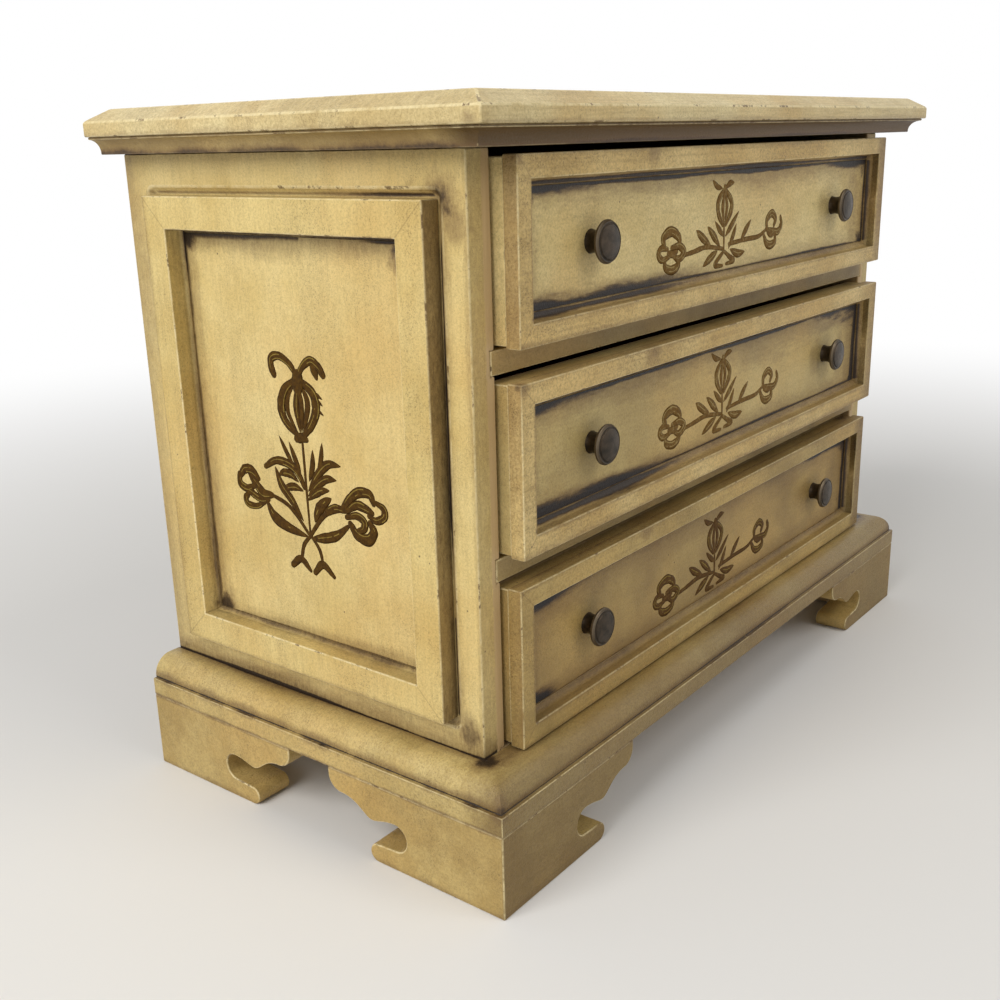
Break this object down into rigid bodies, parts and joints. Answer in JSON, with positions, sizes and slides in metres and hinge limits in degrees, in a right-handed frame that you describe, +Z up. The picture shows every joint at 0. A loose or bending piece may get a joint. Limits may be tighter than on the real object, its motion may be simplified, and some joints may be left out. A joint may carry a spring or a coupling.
{
  "type": "musical jewelry box",
  "caption": "Small chest of drawers in glazed, painted wood with moulded top, bracket feet and round knobs; a wind-up music movement sits behind the top drawer.",
  "frame": {"origin": "on the floor under the middle of the overall box, winding key included", "axes": "+X to the right as seen from the drawer fronts, +Y to the back, +Z up"},
  "size_m": [0.3076, 0.1754, 0.2287],
  "materials": {
    "painted_wood": "straw paint with brown glaze, satin",
    "plain_wood": "sanded, unfinished",
    "stained_plywood": "stained plywood, matt",
    "velvet": "cotton velvet",
    "dark_pewter": "darkened, turned casting",
    "steel": "ground steel",
    "nickel": "nickel plate",
    "brass": "turned brass",
    "zinc_casting": "zinc casting, as cast",
    "nylon": "moulded nylon"
  },
  "bodies": {
    "case": {"top_board": "painted_wood", "cornice_moulding": "painted_wood", "base_moulding": "painted_wood", "left_side_board": "painted_wood", "right_side_board": "painted_wood", "left_side_frame": "painted_wood", "right_side_frame": "painted_wood", "lower_drawer_rail": "painted_wood", "upper_drawer_rail": "painted_wood", "front_left_foot": "painted_wood", "front_right_foot": "painted_wood", "rear_left_foot": "painted_wood", "rear_right_foot": "painted_wood", "sub_top": "plain_wood", "bottom_board": "plain_wood", "lower_dust_panel": "plain_wood", "upper_dust_panel": "plain_wood", "drawer_stops": "plain_wood", "glue_blocks": "plain_wood", "back_panel": "stained_plywood", "back_panel_pins": "steel", "movement_bedplate": "zinc_casting", "spring_barrel": "zinc_casting", "comb": "steel", "comb_screws": "steel", "governor_housing": "nylon", "movement_screws": "steel"},
    "winding_train": {"great_wheel": "brass", "winding_shaft": "steel", "winding_key": "nickel"},
    "music_cylinder": {"pin_cylinder": "brass", "cylinder_arbor": "steel"},
    "stop_lever": {"stop_lever": "steel"},
    "bottom_drawer": {"bottom_drawer_front_board": "painted_wood", "bottom_drawer_front_frame": "painted_wood", "bottom_drawer_sides": "plain_wood", "bottom_drawer_back": "plain_wood", "bottom_drawer_bottom": "plain_wood", "bottom_drawer_lining": "velvet", "bottom_drawer_knobs": "dark_pewter", "bottom_drawer_knob_screws": "steel"},
    "middle_drawer": {"middle_drawer_front_board": "painted_wood", "middle_drawer_front_frame": "painted_wood", "middle_drawer_sides": "plain_wood", "middle_drawer_back": "plain_wood", "middle_drawer_bottom": "plain_wood", "middle_drawer_lining": "velvet", "middle_drawer_knobs": "dark_pewter", "middle_drawer_knob_screws": "steel"},
    "top_drawer": {"top_drawer_front_board": "painted_wood", "top_drawer_front_frame": "painted_wood", "top_drawer_sides": "plain_wood", "top_drawer_back": "plain_wood", "top_drawer_bottom": "plain_wood", "top_drawer_lining": "velvet", "top_drawer_knobs": "dark_pewter", "top_drawer_knob_screws": "steel"}
  },
  "joints": [
    {"name": "bottom_drawer_slide", "type": "slide", "parent": "case", "child": "bottom_drawer", "axis": [0, -1, 0], "range_m": [0, 0.1]},
    {"name": "middle_drawer_slide", "type": "slide", "parent": "case", "child": "middle_drawer", "axis": [0, -1, 0], "range_m": [0, 0.1]},
    {"name": "top_drawer_slide", "type": "slide", "parent": "case", "child": "top_drawer", "axis": [0, -1, 0], "range_m": [0, 0.085]},
    {"name": "winding_turn", "type": "hinge", "parent": "case", "child": "winding_train", "pos_m": [-0.013, 0.07172, 0.1834], "axis": [0, 1, 0], "continuous": true},
    {"name": "cylinder_turn", "type": "hinge", "parent": "case", "child": "music_cylinder", "pos_m": [0.0016, 0.05252, 0.1834], "axis": [1, 0, 0], "continuous": true},
    {"name": "stop_lever_swing", "type": "hinge", "parent": "case", "child": "stop_lever", "pos_m": [0.0296, 0.04362, 0.1834], "axis": [0, 0, 1], "range_deg": [0, 12]}
  ],
  "couplings": [
    {"joint": "cylinder_turn", "follows": "winding_turn", "ratio": -3.2222},
    {"joint": "stop_lever_swing", "follows": "top_drawer_slide", "rad_per_m": 2.463}
  ]
}
